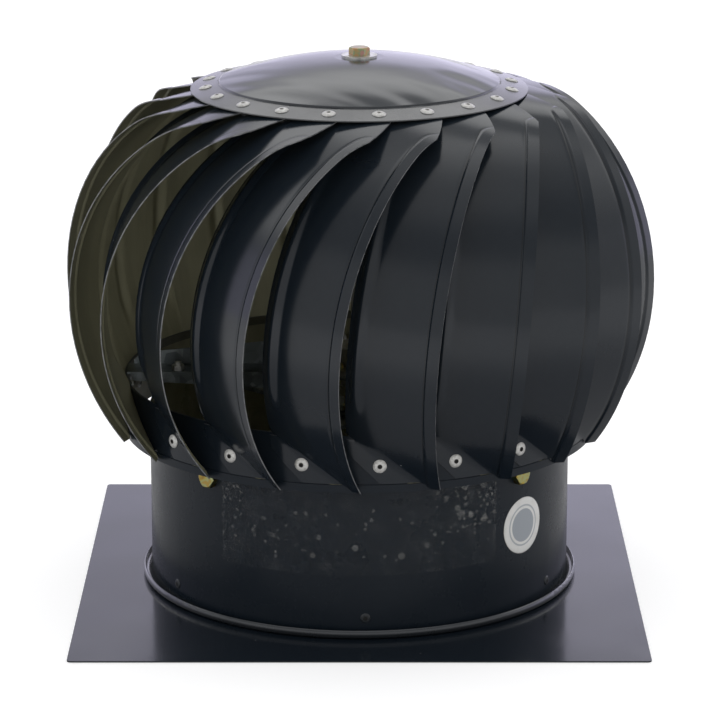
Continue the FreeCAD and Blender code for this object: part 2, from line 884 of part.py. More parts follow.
def end_bolts():
    length = 2 * cross_sheet + lap_gap + housing_nut_height + thread_overrun
    bolt = hex_bolt(housing_flats, housing_head, housing_thread, length)
    bolt.rotate(origin, Vector(1, 0, 0), 180)
    return Part.makeCompound(end_bolt_place(bolt, cross_bottom - lap_gap - cross_sheet))


def end_nuts():
    nut = hex_nut(housing_flats, housing_thread, 0, housing_nut_height)
    return Part.makeCompound(end_bolt_place(nut, cross_top))


def end_rivets():
    grip = ring_radius - (cross_reach - cross_sheet) + rivet_grip_play
    rivet = point_outward(blind_rivet(grip), ring_radius + seat_gap, ring_top)
    return Part.makeCompound(at_end_rivets(rivet))


def fixed_parts():
    return {
        "base_plate": base_plate(),
        "throat": throat(),
        "throat_rivets": throat_rivets(),
        "bracket_bar_lower": bracket_bar_lower(),
        "bracket_bar_upper": bracket_bar_upper(),
        "bracket_bolts": bracket_bolts(),
        "bracket_washers": bracket_washers(),
        "bracket_nuts": bracket_nuts(),
        "spindle": spindle(),
        "spindle_washers": spindle_washers(),
        "spindle_nuts": spindle_nuts(),
        "pivot_ball": pivot_ball(),
        "spindle_circlip": spindle_circlip(),
    }


def rotor_parts():
    parts = {
        "bottom_ring": bottom_ring(),
        "bottom_rivets": ring_rivets(),
        "top_cap": top_cap(),
        "top_rivets": top_rivets(),
        "cap_bolt": cap_bolt(),
        "cap_washer": cap_washer(),
        "top_housing": top_housing(),
        "top_bush": top_bush(),
        "cross_bar": cross_bar(),
        "end_brackets": end_brackets(),
        "end_bolts": end_bolts(),
        "end_nuts": end_nuts(),
        "end_rivets": end_rivets(),
        "lower_housing": lower_housing(),
        "lower_bush": lower_bush(),
        "housing_bolts": housing_bolts(),
        "housing_nuts": housing_nuts(),
    }
    one_blade = blade()
    for index in range(blade_count):
        parts["blade_%02d" % (index + 1)] = turned(one_blade, index * step_angle)
    return {name: turned(shape, rotor_angle) for name, shape in parts.items()}


os.makedirs("parts", exist_ok=True)
for name, shape in {**fixed_parts(), **rotor_parts()}.items():
    shape.exportStep("parts/" + name + ".step")
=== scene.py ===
import math
import bpy
from mathutils import Matrix, Vector


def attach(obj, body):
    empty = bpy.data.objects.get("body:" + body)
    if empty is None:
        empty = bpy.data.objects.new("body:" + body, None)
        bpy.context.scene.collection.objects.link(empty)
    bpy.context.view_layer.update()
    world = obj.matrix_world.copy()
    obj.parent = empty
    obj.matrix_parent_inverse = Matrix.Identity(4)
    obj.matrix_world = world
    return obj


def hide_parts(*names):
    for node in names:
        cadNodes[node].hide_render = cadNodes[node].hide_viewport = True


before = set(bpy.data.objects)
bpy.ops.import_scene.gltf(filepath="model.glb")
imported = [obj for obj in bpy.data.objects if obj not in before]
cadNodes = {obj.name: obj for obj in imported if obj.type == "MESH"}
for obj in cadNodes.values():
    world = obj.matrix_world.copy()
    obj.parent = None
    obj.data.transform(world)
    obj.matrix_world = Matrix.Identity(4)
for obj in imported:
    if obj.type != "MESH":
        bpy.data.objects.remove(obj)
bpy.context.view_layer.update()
bpy.ops.object.select_all(action="DESELECT")
print("frame loaded:", len(cadNodes), "nodes")


# shader maths: a socket that takes + - * / and adds its own Math nodes
class Wire:
    def __init__(self, tree, socket):
        self.tree = tree
        self.socket = socket

    def node(self, kind, settings, sockets, output=0):
        made = self.tree.nodes.new("ShaderNode" + kind)
        for name, value in settings.items():
            if name == "stops":
                setStops(made.color_ramp, value)
            else:
                setattr(made, name, value)
        for name, value in sockets.items():
            if isinstance(value, Wire):
                self.tree.links.new(value.socket, made.inputs[name])
            else:
                made.inputs[name].default_value = value
        return Wire(self.tree, made.outputs[output])

    def maths(self, operation, first, second=0.0):
        return self.node("Math", {"operation": operation}, {0: first, 1: second})

    def __add__(self, other):
        return self.maths("ADD", self, other)

    def __radd__(self, other):
        return self.maths("ADD", other, self)

    def __sub__(self, other):
        return self.maths("SUBTRACT", self, other)

    def __rsub__(self, other):
        return self.maths("SUBTRACT", other, self)

    def __mul__(self, other):
        return self.maths("MULTIPLY", self, other)

    def __rmul__(self, other):
        return self.maths("MULTIPLY", other, self)

    def __truediv__(self, other):
        return self.maths("DIVIDE", self, other)

    def __rtruediv__(self, other):
        return self.maths("DIVIDE", other, self)


def setStops(ramp, stops):
    while len(ramp.elements) > len(stops):
        ramp.elements.remove(ramp.elements[-1])
    while len(ramp.elements) < len(stops):
        ramp.elements.new(1.0)
    for element, (place, colour) in zip(ramp.elements, stops):
        element.position = place
        element.color = (*colour, 1.0)


# textures: how rough noise is, and the levels between which it is spread
texture = {"roughness": 0.55, "spread": (0.35, 0.7), "upper": (0.4, 0.7), "smear": (0.42, 0.72),
           "softBump": 0.3}
levelOnly = (1.0, 1.0, 0.0)


def rise(value, low, high):  # smooth 0 to 1 between two levels
    return value.node("MapRange", {"interpolation_type": "SMOOTHSTEP"},
                      {"Value": value, "From Min": low, "From Max": high})


def noise(place, scale, detail=3.0):
    sockets = {"Vector": place, "Scale": scale, "Detail": detail, "Roughness": texture["roughness"]}
    return place.node("TexNoise", {}, sockets)


def stretchedNoise(place, scales, detail=3.0):  # a scale for each axis
    return noise(timesVector(place, scales), 1.0, detail)


def cells(place, scale, output="Distance"):
    return place.node("TexVoronoi", {}, {"Vector": place, "Scale": scale}, output)


def channel(colour, output="Red"):
    return colour.node("SeparateColor", {}, {0: colour}, output)


def blend(factor, first, second):  # colours, on the Mix node's colour sockets
    return factor.node("Mix", {"data_type": "RGBA"}, {0: factor, 6: first, 7: second}, 2)


def dot(first, second):
    return first.node("VectorMath", {"operation": "DOT_PRODUCT"}, {0: first, 1: second}, "Value")


def timesVector(first, second):
    return first.node("VectorMath", {"operation": "MULTIPLY"}, {0: first, 1: second})


def length(vector):
    return vector.node("VectorMath", {"operation": "LENGTH"}, {0: vector}, "Value")


def coordinate(place, axis):
    return place.node("SeparateXYZ", {}, {0: place}, axis)


def fromAxis(place):  # distance from the spin axis
    return length(timesVector(place, levelOnly))


def turnedBy(place, angle):
    return place.node("Mapping", {}, {"Vector": place, "Rotation": (0.0, 0.0, angle)})


def join(x, y, z):
    return x.node("CombineXYZ", {}, {"X": x, "Y": y, "Z": z})


def rgb(red, green, blue):
    return (red, green, blue, 1.0)


black = rgb(0.0, 0.0, 0.0)
white = rgb(1.0, 1.0, 1.0)


def newFinish(name, constants):
    material = bpy.data.materials.new(name)
    material.use_nodes = True
    shader = material.node_tree.nodes["Principled BSDF"]
    for socket, value in constants.items():
        shader.inputs[socket].default_value = value
    place = Wire(material.node_tree, None).node("TexCoord", {}, {}, "Object")
    return material, shader, place


def surfaceNormal(place):
    return place.node("TexCoord", {}, {}, "Normal")


def feed(shader, socket, wire):
    wire.tree.links.new(wire.socket, shader.inputs[socket])


def feedBump(shader, height, distance, strength=texture["softBump"]):
    bumped = height.node("Bump", {}, {"Strength": strength, "Distance": distance, "Height": height})
    feed(shader, "Normal", bumped)


# paint shared by blades, throat, cap and plate
paintLook = {
    "slate": rgb(0.0075, 0.0118, 0.0178), "slateWorn": rgb(0.0115, 0.0160, 0.0220),
    "patchScale": 9.0, "patchShare": 0.6, "mottleScale": 160.0, "mottleShare": 0.25,
    "speck": rgb(0.46, 0.46, 0.45), "speckScale": 70.0, "speckSize": (0.020, 0.032),
    "speckChosen": (0.93, 0.94), "speckShare": 0.7,
    "khaki": rgb(0.222, 0.215, 0.138), "khakiPale": rgb(0.280, 0.270, 0.176), "khakiScale": 60.0,
    "grainScale": 300.0, "pimpleScale": 700.0, "pimpleShare": 0.02,
    "facingDown": (-0.3, -0.6), "facingAxis": (-0.05, -0.10),
}


def paintSpecks(place):  # dust and tiny chips, one in a few cells
    near = 1.0 - rise(cells(place, paintLook["speckScale"]), *paintLook["speckSize"])
    tint = channel(cells(place, paintLook["speckScale"], "Color"))
    return near * rise(tint, *paintLook["speckChosen"])


def paintTone(place):
    patches = rise(noise(place, paintLook["patchScale"], 2.0), *texture["spread"])
    mottle = rise(noise(place, paintLook["mottleScale"]), *texture["upper"])
    return patches * paintLook["patchShare"] + mottle * paintLook["mottleShare"]


def slatePaint(place):
    colour = blend(paintTone(place), paintLook["slate"], paintLook["slateWorn"])
    return blend(paintSpecks(place) * paintLook["speckShare"], colour, paintLook["speck"])


def khakiTone(share):
    return blend(share, paintLook["khaki"], paintLook["khakiPale"])


def khakiCoat(place):  # backing coat on the sheet's inner face
    return khakiTone(rise(noise(place, paintLook["khakiScale"]), *texture["spread"]))


def facingDown(place):
    return rise(coordinate(surfaceNormal(place), "Z"), *paintLook["facingDown"])


def facingAxis(place):  # on walls that stand round the spin axis
    return rise(dot(surfaceNormal(place), timesVector(place, levelOnly)), *paintLook["facingAxis"])


def smears(place, look):  # duller patches
    return rise(noise(place, look["smearScale"], 4.0), *texture["smear"]) * look["smearDull"]


def grain(place, look):
    return noise(place, paintLook["grainScale"]) * look["grainDull"]


def pimples(place):  # the paint's own skin
    return noise(place, paintLook["pimpleScale"], 2.0) * paintLook["pimpleShare"]


def sheetWaves(place, look):  # slow waves of the sheet under the paint
    return pimples(place) + noise(place, look["waveScale"], 1.0)


plateLook = {"specular": 0.54, "roughness": 0.11, "smearScale": 16.0, "smearDull": 0.06, "grainDull": 0.04,
             "waveScale": 7.0, "waveDepth": 0.0016}


def plateFinish():
    material, shader, place = newFinish("platePaint", {"Specular IOR Level": plateLook["specular"]})
    feed(shader, "Base Color", blend(facingDown(place), slatePaint(place), khakiCoat(place)))
    feed(shader, "Roughness", smears(place, plateLook) + plateLook["roughness"] + grain(place, plateLook))
    feedBump(shader, sheetWaves(place, plateLook), plateLook["waveDepth"])
    return material


throatLook = {"specular": 0.2, "roughness": 0.24, "smearScale": 22.0, "smearDull": 0.10, "grainDull": 0.05,
              "waveScale": 12.0, "waveDepth": 0.0016,
              "beadRadius": (0.1534, 0.1546), "beadTop": (0.0098, 0.0088),
              "beadColour": rgb(0.034, 0.038, 0.044), "beadMetal": 0.6, "coatRoughness": 0.12,
              "wearScale": 60.0, "wear": 0.4}


def throatFinish():  # paint rubbed thin and shiny on the rolled foot
    constants = {"Specular IOR Level": throatLook["specular"], "Coat Roughness": throatLook["coatRoughness"]}
    material, shader, place = newFinish("throatPaint", constants)
    bead = rise(fromAxis(place), *throatLook["beadRadius"])
    bead = bead * rise(coordinate(place, "Z"), *throatLook["beadTop"])
    patchy = noise(place, throatLook["wearScale"], 4.0) * throatLook["wear"] + (1.0 - throatLook["wear"])
    rubbed = bead * patchy
    colour = blend(facingAxis(place), slatePaint(place), khakiCoat(place))
    feed(shader, "Base Color", blend(rubbed, colour, throatLook["beadColour"]))
    feed(shader, "Metallic", rubbed * throatLook["beadMetal"])
    feed(shader, "Coat Weight", rubbed)
    feed(shader, "Roughness", smears(place, throatLook) + throatLook["roughness"] + grain(place, throatLook))
    feedBump(shader, sheetWaves(place, throatLook), throatLook["waveDepth"])
    return material


ringLook = {"specular": 0.2, "roughness": 0.26, "insideDull": 0.2, "grainDull": 0.06,
            "hemFoot": (0.1454, 0.146), "hemPaint": 0.6, "waveScale": 12.0, "waveDepth": 0.0012}


def ringFinish():  # painted outside, khaki backing coat inside, painted where the hem folds over
    material, shader, place = newFinish("ringPaint", {"Specular IOR Level": ringLook["specular"]})
    hem = rise(coordinate(place, "Z"), *ringLook["hemFoot"])
    inside = facingAxis(place) * (1.0 - hem * ringLook["hemPaint"])
    feed(shader, "Base Color", blend(inside, slatePaint(place), khakiCoat(place)))
    dull = inside * ringLook["insideDull"] + ringLook["roughness"]
    feed(shader, "Roughness", dull + grain(place, ringLook))
    feedBump(shader, sheetWaves(place, ringLook), ringLook["waveDepth"])
    return material


capLook = {"specular": 0.6, "roughness": 0.15, "smearScale": 16.0, "smearDull": 0.05, "flangeDull": 0.08,
           "flangeGrey": rgb(0.034, 0.036, 0.040), "flangePale": rgb(0.055, 0.058, 0.061),
           "paleScale": 45.0, "paleSpread": (0.35, 0.68), "flange": (0.1004, 0.1010),
           "neck": (0.1006, 0.0988), "neckHeight": 0.0009,
           "creaseTurn": 0.6, "creaseScales": (9.0, 30.0, 1.0), "creaseHeight": 0.0042, "creaseMean": 0.5,
           "creaseStart": (0.045, 0.092), "flangeFlat": 0.9, "skinScale": 900.0, "skinHeight": 0.000008}


def capFinish():  # glossy dome with faint creases, duller flange
    material, shader, place = newFinish("capPaint", {"Specular IOR Level": capLook["specular"]})
    radius = fromAxis(place)
    flange = rise(radius, *capLook["flange"])
    pale = rise(noise(place, capLook["paleScale"], 4.0), *capLook["paleSpread"])
    grey = blend(pale, capLook["flangeGrey"], capLook["flangePale"])
    colour = blend(flange, slatePaint(place), grey)
    feed(shader, "Base Color", blend(facingDown(place), colour, khakiCoat(place)))
    feed(shader, "Roughness", smears(place, capLook) + capLook["roughness"] + flange * capLook["flangeDull"])
    creases = stretchedNoise(turnedBy(place, capLook["creaseTurn"]), capLook["creaseScales"], 1.0)
    outer = rise(radius, *capLook["creaseStart"]) * (1.0 - flange * capLook["flangeFlat"])
    height = (creases - capLook["creaseMean"]) * outer * capLook["creaseHeight"]
    height = height + rise(radius, *capLook["neck"]) * capLook["neckHeight"]
    height = height + noise(place, capLook["skinScale"], 2.0) * capLook["skinHeight"]
    feedBump(shader, height, 1.0, 1.0)
    return material


# blade finishes: paint outside, khaki backing coat inside, bare cut edges, and a dark line along the score
# crease that is painted shade
bladeMap = {"arcSpan": 2.4, "arcStart": 0.8}
bladePaintLook = {"specular": 0.36, "roughness": 0.165, "smearScale": 18.0, "smearDull": 0.04,
                  "streakScales": (900.0, 9.0, 1.0), "streakLevels": (0.5, 0.8), "streakDull": 0.012,
                  "score": 0.0097, "scoreSide": (0.0007, 0.0002), "scoreShadeShare": 0.5,
                  "scoreShade": rgb(0.003, 0.004, 0.005), "waveScales": (20.0, 8.0, 1.0),
                  "waveDepth": 0.0010}
bladeKhakiLook = {"specular": 0.3, "roughness": 0.40, "grainScales": (160.0, 14.0, 1.0), "grainDull": 0.08,
                  "blotchScale": 24.0, "blotchDull": 0.06, "skinScale": 600.0, "skinShare": 0.03,
                  "waveScale": 16.0, "waveDepth": 0.0010}
bladeEdgeLook = {"metal": 0.35, "roughness": 0.34, "wornScale": 240.0, "wornLevels": (0.3, 0.6),
                 "wornDull": 0.12, "painted": rgb(0.09, 0.094, 0.098), "bare": rgb(0.21, 0.214, 0.218),
                 "skinScale": 900.0, "skinDepth": 0.0001}


def bladeStrip(place):  # the blade unrolled, in metres, from its own UV map
    size = (bladeForm["width"], bladeForm["bendRadius"] * bladeMap["arcSpan"], 1.0)
    return timesVector(place.node("TexCoord", {}, {}, "UV"), size)


def bladePaintFinish():
    look = bladePaintLook
    material, shader, place = newFinish("bladePaint", {"Specular IOR Level": look["specular"]})
    strip = bladeStrip(place)
    # a dark line along the score crease beside the lip is painted shade in the crease
    fromScore = coordinate(strip, "X") - look["score"]
    groove = rise(fromScore.maths("ABSOLUTE", fromScore), *look["scoreSide"])
    feed(shader, "Base Color", blend(groove * look["scoreShadeShare"], slatePaint(place), look["scoreShade"]))
    streaks = rise(stretchedNoise(strip, look["streakScales"], 2.0), *look["streakLevels"])
    feed(shader, "Roughness", smears(place, look) + streaks * look["streakDull"] + look["roughness"])
    feedBump(shader, pimples(place) + stretchedNoise(strip, look["waveScales"], 1.0), look["waveDepth"])
    return material


def bladeKhakiFinish():
    look = bladeKhakiLook
    material, shader, place = newFinish("bladeKhaki", {"Specular IOR Level": look["specular"]})
    rolled = rise(stretchedNoise(bladeStrip(place), look["grainScales"]), *texture["spread"])
    blotch = rise(noise(place, look["blotchScale"]), *texture["spread"])
    feed(shader, "Base Color", khakiTone((rolled + blotch) / 2.0))
    feed(shader, "Roughness", rolled * look["grainDull"] + blotch * look["blotchDull"] + look["roughness"])
    skin = noise(place, look["skinScale"], 2.0) * look["skinShare"]
    feedBump(shader, skin + noise(place, look["waveScale"], 1.0), look["waveDepth"])
    return material


def bladeEdgeFinish():
    look = bladeEdgeLook
    material, shader, place = newFinish("bladeEdge", {"Metallic": look["metal"]})
    worn = rise(noise(place, look["wornScale"]), *look["wornLevels"])
    feed(shader, "Base Color", blend(worn, look["painted"], look["bare"]))
    feed(shader, "Roughness", worn * look["wornDull"] + look["roughness"])
    feedBump(shader, noise(place, look["skinScale"]), look["skinDepth"])
    return material


# bare metals
galvanisedLook = {"metal": 0.9, "roughness": 0.34, "spangleScale": 95.0, "spangleDull": 0.18,
                  "spangleHeight": 0.6, "dark": rgb(0.105, 0.122, 0.130), "pale": rgb(0.27, 0.30, 0.305),
                  "stain": rgb(0.070, 0.076, 0.074), "stainScale": 40.0, "stainLevels": (0.46, 0.66),
                  "stainShare": 0.75, "stainDull": 0.2, "skinScale": 220.0, "skinDepth": 0.0003}


def galvanisedFinish():
    look = galvanisedLook
    material, shader, place = newFinish("galvanised", {"Metallic": look["metal"]})
    spangle = channel(cells(place, look["spangleScale"], "Color"))
    stain = rise(noise(place, look["stainScale"], 5.0), *look["stainLevels"])
    colour = blend(spangle, look["dark"], look["pale"])
    feed(shader, "Base Color", blend(stain * look["stainShare"], colour, look["stain"]))
    feed(shader, "Roughness", spangle * look["spangleDull"] + look["roughness"] + stain * look["stainDull"])
    feedBump(shader, spangle * look["spangleHeight"] + noise(place, look["skinScale"]), look["skinDepth"])
    return material


# pinAndHoleShade: black on the bottom and throat rows is painted shade in the rivet's hole; pale on the top
# row is the filled pin
rivetRows = {
    "bottom": {"count": 20, "turn": -13.315, "radius": 0.1700, "height": 0.1310, "metal": 0.45,
               "bright": rgb(0.64, 0.635, 0.61), "dull": rgb(0.50, 0.49, 0.465),
               "pinAndHoleShade": rgb(0.015, 0.014, 0.013)},
    "top": {"count": 20, "turn": 25.062, "radius": 0.1094, "tilt": 13.0, "metal": 0.45,
            "bright": rgb(0.56, 0.555, 0.54), "dull": rgb(0.44, 0.435, 0.42),
            "pinAndHoleShade": rgb(0.40, 0.395, 0.38)},
    "throat": {"count": 6, "turn": -88.4, "radius": 0.1540, "height": 0.0150, "metal": 0.0,
               "bright": rgb(0.020, 0.024, 0.028), "dull": rgb(0.008, 0.011, 0.014),
               "pinAndHoleShade": rgb(0.001, 0.001, 0.001)},
}
rivetLook = {"specular": 0.5, "roughness": 0.40, "hole": (0.00185, 0.00140), "holeDull": 0.3,
             "scuffScale": 700.0, "scuffDull": 0.15, "grimeAndShadeScale": 420.0, "shadeRim": (0.0034, 0.0047),
             "grimeAndShadeLevels": (0.4, 0.6), "grimeAndShade": rgb(0.20, 0.20, 0.19),
             "skinScale": 900.0, "skinDepth": 0.0002, "skinStrength": 0.4}


def rivetFinish(name, row):  # a middle on every head of a row: black on the bottom and throat rows, painted shade in the rivet's hole; a pale filled pin on the top row
    look = rivetLook
    material, shader, place = newFinish(name, {"Specular IOR Level": look["specular"]})
    x = coordinate(place, "X")
    y = coordinate(place, "Y")
    step = math.tau / row["count"]
    turn = place.maths("ARCTAN2", y, x) - math.radians(row["turn"]) + step / 2
    sideways = (turn.maths("FLOORED_MODULO", turn, step) - step / 2) * row["radius"]
    if "height" in row:
        other = coordinate(place, "Z") - row["height"]
    else:
        other = (place.maths("SQRT", x * x + y * y) - row["radius"]) / math.cos(math.radians(row["tilt"]))
    fromPin = place.maths("SQRT", sideways * sideways + other * other)
    hole = rise(fromPin, *look["hole"])
    scuff = rise(noise(place, look["scuffScale"]), *texture["upper"])
    # a darker, patchy ring at each head's edge, where it meets the sheet, is painted shade; it shows on the
    # bottom and top rows only
    grimeAndShade = rise(fromPin, *look["shadeRim"]) * rise(noise(place, look["grimeAndShadeScale"]), *look["grimeAndShadeLevels"])
    colour = blend(scuff, row["bright"], row["dull"])
    colour = blend(grimeAndShade * row["metal"], colour, look["grimeAndShade"])
    feed(shader, "Base Color", blend(hole, colour, row["pinAndHoleShade"]))
    feed(shader, "Metallic", row["metal"] - hole * row["metal"])
    feed(shader, "Roughness", scuff * look["scuffDull"] + look["roughness"] + hole * look["holeDull"])
    feedBump(shader, noise(place, look["skinScale"]), look["skinDepth"], look["skinStrength"])
    return material


zincCoats = {
    "yellowZinc": {"scale": 170.0, "stops": [
        (0.30, (0.36, 0.19, 0.17)), (0.42, (0.37, 0.24, 0.11)), (0.50, (0.33, 0.27, 0.13)),
        (0.58, (0.22, 0.28, 0.16)), (0.68, (0.40, 0.22, 0.19))]},
    "goldZinc": {"scale": 150.0, "stops": [
        (0.32, (0.30, 0.19, 0.05)), (0.44, (0.42, 0.31, 0.07)), (0.54, (0.34, 0.38, 0.19)),
        (0.66, (0.38, 0.26, 0.07))]},
}
zincCoatLook = {"roughness": 0.22, "dullScale": 400.0, "dull": 0.2, "skinScale": 1100.0, "skinDepth": 0.0002}


def zincCoatFinish(name):  # passivated zinc, with a sheen of several colours
    look = zincCoatLook
    material, shader, place = newFinish(name, {"Metallic": 1.0})
    sheen = noise(place, zincCoats[name]["scale"], 2.0)
    feed(shader, "Base Color", sheen.node("ValToRGB", {"stops": zincCoats[name]["stops"]}, {0: sheen}))
    feed(shader, "Roughness", noise(place, look["dullScale"]) * look["dull"] + look["roughness"])
    feedBump(shader, noise(place, look["skinScale"]), look["skinDepth"])
    return material


plainZincLook = {"metal": 0.95, "roughness": 0.32, "dullScale": 260.0, "dull": 0.2,
                 "bright": rgb(0.62, 0.62, 0.60), "grey": rgb(0.44, 0.44, 0.42),
                 "skinScale": 700.0, "skinDepth": 0.0002}


def plainZincFinish():
    look = plainZincLook
    material, shader, place = newFinish("plainZinc", {"Metallic": look["metal"]})
    dull = rise(noise(place, look["dullScale"], 4.0), *texture["upper"])
    feed(shader, "Base Color", blend(dull, look["bright"], look["grey"]))
    feed(shader, "Roughness", dull * look["dull"] + look["roughness"])
    feedBump(shader, noise(place, look["skinScale"]), look["skinDepth"])
    return material


turnedSteelLook = {"roughness": 0.26, "ringScales": (4.0, 4.0, 2600.0), "ringDull": 0.15,
                   "ringDepth": 0.00015, "ringStrength": 0.4, "oilScale": 50.0,
                   "oilLevels": (0.45, 0.7), "oilDull": 0.1,
                   "bright": rgb(0.46, 0.46, 0.47), "oiled": rgb(0.30, 0.29, 0.28)}


def turnedSteelFinish():
    look = turnedSteelLook
    material, shader, place = newFinish("turnedSteel", {"Metallic": 1.0})
    rings = stretchedNoise(place, look["ringScales"], 1.0)
    oiled = rise(noise(place, look["oilScale"]), *look["oilLevels"])
    feed(shader, "Base Color", blend(oiled, look["bright"], look["oiled"]))
    feed(shader, "Roughness", rings * look["ringDull"] + look["roughness"] + oiled * look["oilDull"])
    feedBump(shader, rings, look["ringDepth"], look["ringStrength"])
    return material


bronzeLook = {"roughness": 0.32, "poreScale": 1400.0, "poreLevels": (0.5, 0.62), "poreDull": 0.25,
              "poreDepth": 0.0002, "poreStrength": 0.4,
              "metal": rgb(0.55, 0.36, 0.17), "pore": rgb(0.34, 0.22, 0.11)}


def bronzeFinish():
    look = bronzeLook
    material, shader, place = newFinish("bronzeBush", {"Metallic": 1.0})
    pores = rise(noise(place, look["poreScale"], 2.0), *look["poreLevels"])
    feed(shader, "Base Color", blend(pores, look["metal"], look["pore"]))
    feed(shader, "Roughness", pores * look["poreDull"] + look["roughness"])
    feedBump(shader, pores, look["poreDepth"], look["poreStrength"])
    return material


def paint(nodeName, material):
    mesh = cadNodes[nodeName].data
    mesh.materials.clear()
    mesh.materials.append(material)


finishes = {
    "plate": plateFinish(),
    "throat": throatFinish(),
    "ring": ringFinish(),
    "cap": capFinish(),
    "galvanised": galvanisedFinish(),
    "bottomRivet": rivetFinish("bottomRivetZinc", rivetRows["bottom"]),
    "topRivet": rivetFinish("topRivetZinc", rivetRows["top"]),
    "throatRivet": rivetFinish("throatRivetPaint", rivetRows["throat"]),
    "yellowZinc": zincCoatFinish("yellowZinc"),
    "goldZinc": zincCoatFinish("goldZinc"),
    "plainZinc": plainZincFinish(),
    "steel": turnedSteelFinish(),
    "bronze": bronzeFinish(),
}
nodeFinish = {
    "base_plate": "plate", "throat": "throat", "throat_rivets": "throatRivet",
    "top_cap": "cap", "bottom_ring": "ring",
    "bracket_bar_lower": "galvanised", "bracket_bar_upper": "galvanised", "cross_bar": "galvanised",
    "end_brackets": "galvanised", "end_bolts": "plainZinc", "end_nuts": "plainZinc",
    "end_rivets": "plainZinc",
    "bracket_bolts": "goldZinc", "bracket_nuts": "goldZinc", "bracket_washers": "goldZinc",
    "cap_bolt": "yellowZinc", "cap_washer": "plainZinc", "spindle_nuts": "goldZinc",
    "spindle_washers": "goldZinc", "housing_bolts": "goldZinc", "housing_nuts": "goldZinc",
    "bottom_rivets": "bottomRivet", "top_rivets": "topRivet",
    "spindle": "steel", "pivot_ball": "steel", "spindle_circlip": "steel",
    "top_housing": "steel", "lower_housing": "steel", "top_bush": "bronze", "lower_bush": "bronze",
}
for nodeName, finish in nodeFinish.items():
    paint(nodeName, finishes[finish])
print("finishes on", len(nodeFinish), "nodes")


# blades: one sheet strip bent round a leaning axis, folded on to the ring and the cap
bladeForm = {
    "count": 20, "startTurn": -3.6, "rim": (0.212, 0.0, 0.212), "bendRadius": 0.152,
    "lean": 31.2, "droop": 4.8,
    "width": 0.064, "sheet": 0.0008, "lip": 0.0093, "lipStep": 0.0010, "lipSlope": 0.0016, "flare": 0.0013,
    "toe": 0.012, "toeAngle": 71.6, "cornerAngle": 68.7, "groove": 0.0002, "grooveWidth": 0.0006,
    "ridgePlace": 0.0570, "ridgeHalf": 0.0060, "ridgeHeight": 0.0023, "ridgeFade": (0.166, 0.190),
    "edgeTuck": 0.0004, "tuckStart": 0.0615, "tuckWidth": 0.0025,
    "tabFoot": 0.1182, "tabTop": 0.1500, "tabRadius": 0.17085, "hemRadius": 0.17085,
    "rivetTurn": -9.715, "tabLine": 0.1185, "footBlend": 0.0018, "footFade": 0.012, "leastFold": 0.00001,
    "flangeRadius": 0.120, "coneHeight": 0.35914, "coneTilt": 0.23087, "topBlend": 0.007, "capFold": 21.854,
    "cornerTrim": [(0.1474, 0.0054), (0.120, 0.0206), (0.0985, 0.0300)],
    "topEnd": [(-0.064, 0.116), (-0.030, 0.106)], "topRows": (0.9, 1.5),
    "crowdEdge": 0.0108, "leastCrowd": 0.15, "weld": 0.00002, "smoothAngle": 32.0, "halvings": 30,
}
# grid lines: mm in from the outer edge, then mm up to the rim and degrees round the bend above it
bladeColumns = [0, 1.5, 3, 5, 6.6, 7.5, 8.1, 8.7, 9.3, 9.9, 10.8, 12.5, *range(15, 43, 3), 44.5, 47, 49.5,
                51.2, 52.5, 53.7, 54.9, 56, 57, 58, 59.1, 60.3, 61.5, 62.6, 64]
bladeHeights = [114, 116, 118.19, 118.21, *range(120, 149, 2), 149.99, 150.01, 152, 154.5, 157.5, 162, 167,
                172, 178, 185, 193, 202]
bladeAngles = [*range(0, 45, 4), 47, 50, 52, 54, 56, 57.5, 59, 60.5, 62, 63.5, 65, 66.2, 67.4, 68.2, 68.7,
               69.2, 69.8, 70.4, 71, 71.6, 72.5, *range(74, 83, 2)]
millimetres = 1000.0


